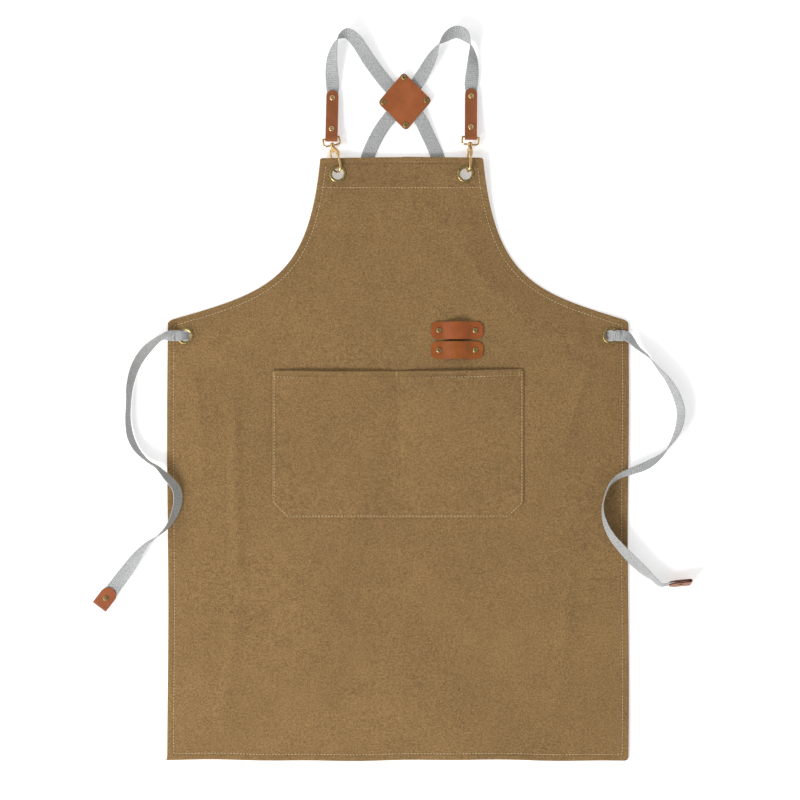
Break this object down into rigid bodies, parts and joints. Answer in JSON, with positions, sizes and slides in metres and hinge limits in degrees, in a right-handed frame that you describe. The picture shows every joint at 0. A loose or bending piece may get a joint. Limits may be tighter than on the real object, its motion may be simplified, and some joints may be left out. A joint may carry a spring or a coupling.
{
  "type": "apron",
  "caption": "Cross-back canvas bib apron laid flat, with webbing straps and waist ties, leather patch and tool loops, a divided pocket and brass snap hooks in eyelets.",
  "frame": {"origin": "under the middle of the laid-out apron, on the surface it lies on: centre in X and Y, base in Z", "axes": "+Z out of the apron's front (up as it lies), +Y from the hem to the bib, +X to the right as seen from the front"},
  "size_m": [0.8904, 1.0912, 0.025],
  "materials": {
    "canvas": "plain-woven cotton canvas, khaki brown",
    "webbing": "ribbed cotton webbing, light heather grey",
    "leather": "smooth vegetable-tanned leather, cut edges darker",
    "brass": "polished pale brass",
    "antique_brass": "antique brass, dark in the recesses"
  },
  "bodies": {
    "apron": {"apron_panel": "canvas", "pocket": "canvas", "bib_eyelet_left": "antique_brass", "bib_eyelet_left_washer": "antique_brass", "waist_eyelet_left": "antique_brass", "waist_eyelet_left_washer": "antique_brass", "tie_tip_left_rivet": "antique_brass", "strap_loop_left": "brass", "strap_tab_left_rivet_top": "brass", "strap_tab_left_rivet_bottom": "brass", "strap_tab_left": "leather", "tie_tip_left": "leather", "shoulder_strap_left": "webbing", "waist_tie_left": "webbing", "bib_eyelet_right": "antique_brass", "bib_eyelet_right_washer": "antique_brass", "waist_eyelet_right": "antique_brass", "waist_eyelet_right_washer": "antique_brass", "tie_tip_right_rivet": "antique_brass", "strap_loop_right": "brass", "strap_tab_right_rivet_top": "brass", "strap_tab_right_rivet_bottom": "brass", "strap_tab_right": "leather", "tie_tip_right": "leather", "shoulder_strap_right": "webbing", "waist_tie_right": "webbing", "tool_loop_lower": "leather", "tool_loop_lower_rivet_left": "antique_brass", "tool_loop_lower_rivet_right": "antique_brass", "tool_loop_upper": "leather", "tool_loop_upper_rivet_left": "antique_brass", "tool_loop_upper_rivet_right": "antique_brass", "cross_patch_back": "leather", "cross_patch_front": "leather", "cross_patch_rivet_bottom": "antique_brass", "cross_patch_rivet_right": "antique_brass", "cross_patch_rivet_top": "antique_brass", "cross_patch_rivet_left": "antique_brass"},
    "hook_left": {"hook_body_left": "brass", "gate_pin_left": "brass", "gate_spring_left": "brass"},
    "hook_gate_left": {"gate_left": "brass"},
    "hook_right": {"hook_body_right": "brass", "gate_pin_right": "brass", "gate_spring_right": "brass"},
    "hook_gate_right": {"gate_right": "brass"}
  },
  "joints": [
    {"name": "hook_swivel_left", "type": "hinge", "parent": "apron", "child": "hook_left", "pos_m": [-0.09955, 0.37982, 0.0102], "axis": [-0.1994, 0.9799, 0], "range_deg": [-66, 0]},
    {"name": "hook_gate_left", "type": "hinge", "parent": "hook_left", "child": "hook_gate_left", "pos_m": [-0.09895, 0.36086, 0.00689], "axis": [-0.7049, -0.1434, 0.6947], "range_deg": [0, 9], "stiffness_Nm_per_rad": 0.02, "springref_deg": -20.05},
    {"name": "hook_swivel_right", "type": "hinge", "parent": "apron", "child": "hook_right", "pos_m": [0.10791, 0.38123, 0.0102], "axis": [0.0698, 0.9976, 0], "range_deg": [-24, 12]},
    {"name": "hook_gate_right", "type": "hinge", "parent": "hook_right", "child": "hook_gate_right", "pos_m": [0.1055, 0.36265, 0.00574], "axis": [-0.9679, 0.0677, 0.2419], "range_deg": [0, 14], "stiffness_Nm_per_rad": 0.02, "springref_deg": -20.05}
  ]
}
